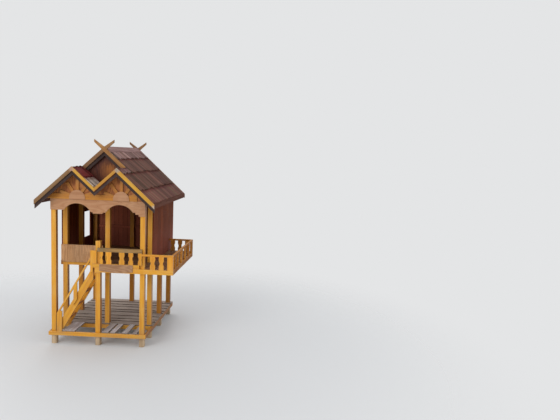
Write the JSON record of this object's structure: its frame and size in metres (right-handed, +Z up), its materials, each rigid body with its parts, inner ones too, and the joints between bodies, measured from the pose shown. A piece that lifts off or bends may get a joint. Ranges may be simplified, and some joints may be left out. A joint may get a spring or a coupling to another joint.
{
  "type": "wooden spirit house on posts",
  "caption": "Small timber shrine house on square posts, with a slatted lower deck, mini stair, arched porch, side balcony and twin front gables under a shingle roof.",
  "frame": {"origin": "centre of the foot of the middle porch post, at ground level", "axes": "+X to the right seen from the front, +Y from the front back into the house, +Z up"},
  "size_m": [1.222, 1.322, 1.8863],
  "materials": {
    "painted_timber": "yellow ochre varnish paint, brushed, satin",
    "inner_timber": "thin ochre stain, satin",
    "weathered_board": "bare and weathered, matt",
    "bare_plywood": "bare pinkish plywood, matt",
    "stained_wall": "red-brown stain, satin",
    "gable_infill": "orange stain, satin",
    "dark_board": "dark stain, matt",
    "shingle": "purple-brown weathered shingles, matt"
  },
  "bodies": {
    "root": {"base_front_rail": "painted_timber", "base_back_rail": "inner_timber", "base_side_rails": "inner_timber", "base_cross_beam": "painted_timber", "porch_posts": "painted_timber", "room_front_posts": "painted_timber", "middle_posts": "inner_timber", "rear_posts": "inner_timber", "deck_slats": "weathered_board", "platform_boards": "weathered_board", "balcony_front_beam": "painted_timber", "room_front_beam": "inner_timber", "floor_joists": "inner_timber", "floor_side_beams": "inner_timber", "balcony_frame": "painted_timber", "porch_floor": "weathered_board", "room_floor": "weathered_board", "balcony_floor": "weathered_board", "porch_kerb": "painted_timber", "porch_valance": "bare_plywood", "porch_balustrade": "painted_timber", "balcony_front_balustrade": "painted_timber", "balcony_side_balustrade": "painted_timber", "balcony_rear_balustrade": "painted_timber", "stair_stringers": "painted_timber", "stair_treads": "inner_timber", "stair_rail": "painted_timber", "parapet_panel": "bare_plywood", "right_wall": "stained_wall", "left_wall": "stained_wall", "rear_wall": "stained_wall", "rear_wall_batten": "stained_wall", "wall_plates": "inner_timber", "arch_board": "bare_plywood", "gable_tie_strip": "painted_timber", "front_gable_panel": "gable_infill", "sunbursts": "inner_timber", "main_gable_panel": "gable_infill", "rear_gable_panel": "stained_wall", "right_roof_slope": "shingle", "left_roof_slope": "shingle", "valley_roof": "shingle", "ridge_cap": "shingle", "front_bargeboards": "painted_timber", "rake_fascia": "dark_board", "main_gable_horns": "painted_timber", "rear_gable_horns": "painted_timber"}
  },
  "joints": []
}
